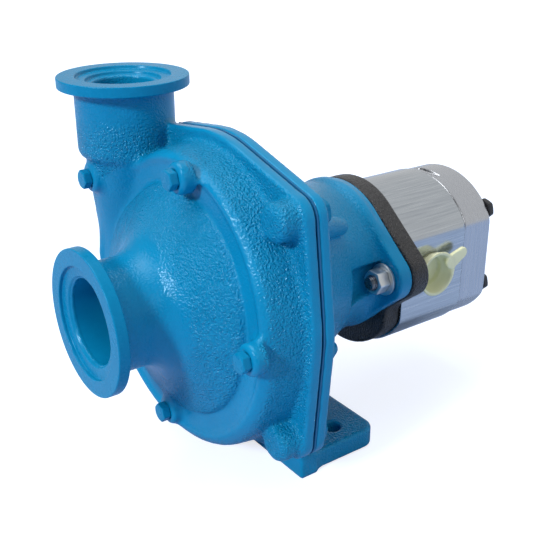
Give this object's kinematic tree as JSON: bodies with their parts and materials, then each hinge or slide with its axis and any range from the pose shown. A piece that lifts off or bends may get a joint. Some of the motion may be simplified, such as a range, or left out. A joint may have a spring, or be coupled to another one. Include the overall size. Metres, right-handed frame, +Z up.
{
  "type": "centrifugal water pump",
  "caption": "Close-coupled centrifugal pump: flanged volute casing on a footed bracket, driven by a hydraulic gear motor with capped side ports.",
  "frame": {"origin": "on the underside of the foot, midway between its two bolt holes", "axes": "+Z up, +Y along the shaft from the suction flange towards the motor, +X to the right seen from the suction side"},
  "size_m": [0.215, 0.2888, 0.2275],
  "materials": {
    "blue_paint": "glossy blue enamel over rough cast iron",
    "fibre": "dark compressed fibre sheet",
    "black_iron": "black painted rough cast iron",
    "aluminium": "extruded aluminium with fine draw lines",
    "machined_aluminium": "bright die cast aluminium",
    "zinc": "clear zinc plated steel",
    "steel": "ground steel",
    "dark_steel": "black oxide steel",
    "bronze": "machined bronze",
    "grey_iron": "bare cast iron",
    "rubber": "matt black elastomer",
    "ceramic": "lapped ceramic",
    "carbon": "lapped carbon",
    "cream_plastic": "translucent cream moulded plastic"
  },
  "bodies": {
    "pump_body": {"volute_casing": "blue_paint", "mounting_bracket": "blue_paint", "casing_gasket": "fibre", "wear_ring": "bronze", "casing_bolt_1": "blue_paint", "casing_bolt_2": "blue_paint", "casing_bolt_3": "blue_paint", "casing_bolt_4": "blue_paint", "drain_plug_1": "blue_paint", "drain_plug_2": "blue_paint", "drain_plug_3": "blue_paint", "vent_plug": "blue_paint", "seal_cup": "rubber", "seal_seat": "ceramic", "front_bearing_outer": "steel", "rear_bearing_outer": "steel", "bearing_retaining_ring": "dark_steel", "mount_bolt_left": "zinc", "mount_washer_left": "zinc", "mount_nut_left": "zinc", "mount_bolt_right": "zinc", "mount_washer_right": "zinc", "mount_nut_right": "zinc", "motor_flange": "black_iron", "motor_body": "aluminium", "motor_rear_cover": "machined_aluminium", "bearing_block_front": "bronze", "bearing_block_rear": "bronze", "motor_shaft_seal": "rubber", "motor_bolt_1": "dark_steel", "motor_bolt_2": "dark_steel", "motor_bolt_3": "dark_steel", "motor_bolt_4": "dark_steel"},
    "rotor": {"pump_shaft": "steel", "impeller": "grey_iron", "impeller_key": "steel", "impeller_washer": "steel", "impeller_nut": "steel", "seal_face": "carbon", "seal_bellows": "rubber", "seal_spring": "steel", "seal_retainer": "steel", "front_bearing_inner": "steel", "rear_bearing_inner": "steel", "drive_gear_shaft": "steel"},
    "driven_gear": {"driven_gear_shaft": "steel"},
    "front_ball_cage": {"front_bearing_balls": "steel"},
    "rear_ball_cage": {"rear_bearing_balls": "steel"},
    "right_port_cap": {"port_plug_right": "cream_plastic"},
    "left_port_cap": {"port_plug_left": "cream_plastic"}
  },
  "joints": [
    {"name": "rotor_spin", "type": "hinge", "parent": "pump_body", "child": "rotor", "pos_m": [0, 0, 0.108], "axis": [0, 1, 0], "continuous": true},
    {"name": "driven_gear_spin", "type": "hinge", "parent": "pump_body", "child": "driven_gear", "pos_m": [0, 0, 0.078], "axis": [0, 1, 0], "continuous": true},
    {"name": "front_cage_spin", "type": "hinge", "parent": "pump_body", "child": "front_ball_cage", "pos_m": [0, 0, 0.108], "axis": [0, 1, 0], "continuous": true},
    {"name": "rear_cage_spin", "type": "hinge", "parent": "pump_body", "child": "rear_ball_cage", "pos_m": [0, 0, 0.108], "axis": [0, 1, 0], "continuous": true},
    {"name": "right_cap_pull", "type": "slide", "parent": "pump_body", "child": "right_port_cap", "axis": [1, 0, 0], "range_m": [0, 0.03]},
    {"name": "left_cap_pull", "type": "slide", "parent": "pump_body", "child": "left_port_cap", "axis": [-1, 0, 0], "range_m": [0, 0.03]}
  ],
  "couplings": [
    {"joint": "driven_gear_spin", "follows": "rotor_spin", "ratio": -1},
    {"joint": "front_cage_spin", "follows": "rotor_spin", "ratio": 0.3987},
    {"joint": "rear_cage_spin", "follows": "rotor_spin", "ratio": 0.3978}
  ]
}
